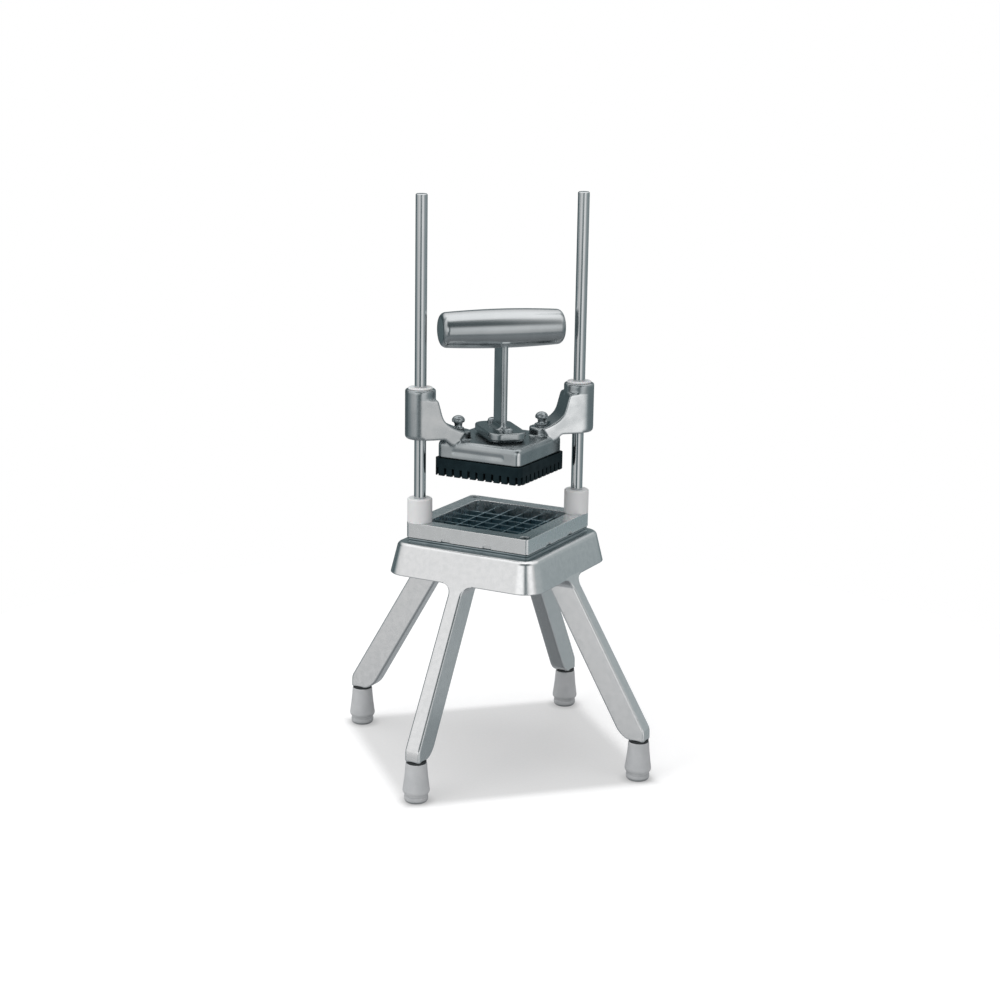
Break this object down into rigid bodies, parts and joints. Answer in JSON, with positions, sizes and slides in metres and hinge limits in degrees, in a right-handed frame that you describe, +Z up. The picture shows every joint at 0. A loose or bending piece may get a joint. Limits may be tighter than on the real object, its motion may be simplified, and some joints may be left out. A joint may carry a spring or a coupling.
{
  "type": "french fry cutter",
  "caption": "Upright french fry cutter: a T handle on a sliding head pushes a potato down two guide rods and through a square blade grid on four splayed legs.",
  "frame": {"origin": "on the floor under the middle of the blade grid, at the centre of the four feet", "axes": "+Z up; +X from the left guide rod to the right one; the operator stands at -Y and looks along +Y. The square plate and block stand on their corners, so their sides run at 45 degrees to X and Y."},
  "size_m": [0.2074, 0.2074, 0.4658],
  "materials": {
    "cast_aluminium": "polished casting",
    "head_aluminium": "satin casting",
    "polished_aluminium": "polished",
    "rod_steel": "polished",
    "blade_steel": "satin",
    "knob_steel": "polished",
    "fastener_steel": "satin",
    "white_nylon": "satin",
    "black_plastic": "matte",
    "grey_rubber": "matte",
    "dark_rubber": "matte",
    "insert_brass": "satin"
  },
  "bodies": {
    "base": {"base_casting": "cast_aluminium", "foot_front_left": "grey_rubber", "foot_front_right": "grey_rubber", "foot_back_left": "grey_rubber", "foot_back_right": "grey_rubber", "foot_washers": "dark_rubber", "foot_studs": "fastener_steel", "blade_plate": "polished_aluminium", "upper_blades": "blade_steel", "lower_blades": "blade_steel", "plate_screws": "fastener_steel", "left_guide_rod": "rod_steel", "right_guide_rod": "rod_steel", "rod_washers": "fastener_steel", "rod_nuts": "fastener_steel", "left_bumper": "white_nylon", "right_bumper": "white_nylon"},
    "head": {"pusher_head": "head_aluminium", "left_bushing": "white_nylon", "right_bushing": "white_nylon", "pusher_block": "black_plastic", "block_inserts": "insert_brass", "t_handle": "polished_aluminium", "handle_washers": "fastener_steel", "handle_screws": "fastener_steel", "thumb_washers": "fastener_steel"},
    "left_thumb_screw": {"left_thumb_screw": "knob_steel"},
    "right_thumb_screw": {"right_thumb_screw": "knob_steel"}
  },
  "joints": [
    {"name": "head_slide", "type": "slide", "parent": "base", "child": "head", "axis": [0, 0, 1], "range_m": [-0.0488, 0.15]},
    {"name": "left_thumb_screw_turn", "type": "hinge", "parent": "head", "child": "left_thumb_screw", "pos_m": [-0.03522, 0, 0.27], "axis": [0, 0, 1], "continuous": true},
    {"name": "right_thumb_screw_turn", "type": "hinge", "parent": "head", "child": "right_thumb_screw", "pos_m": [0.03522, 0, 0.27], "axis": [0, 0, 1], "continuous": true}
  ]
}
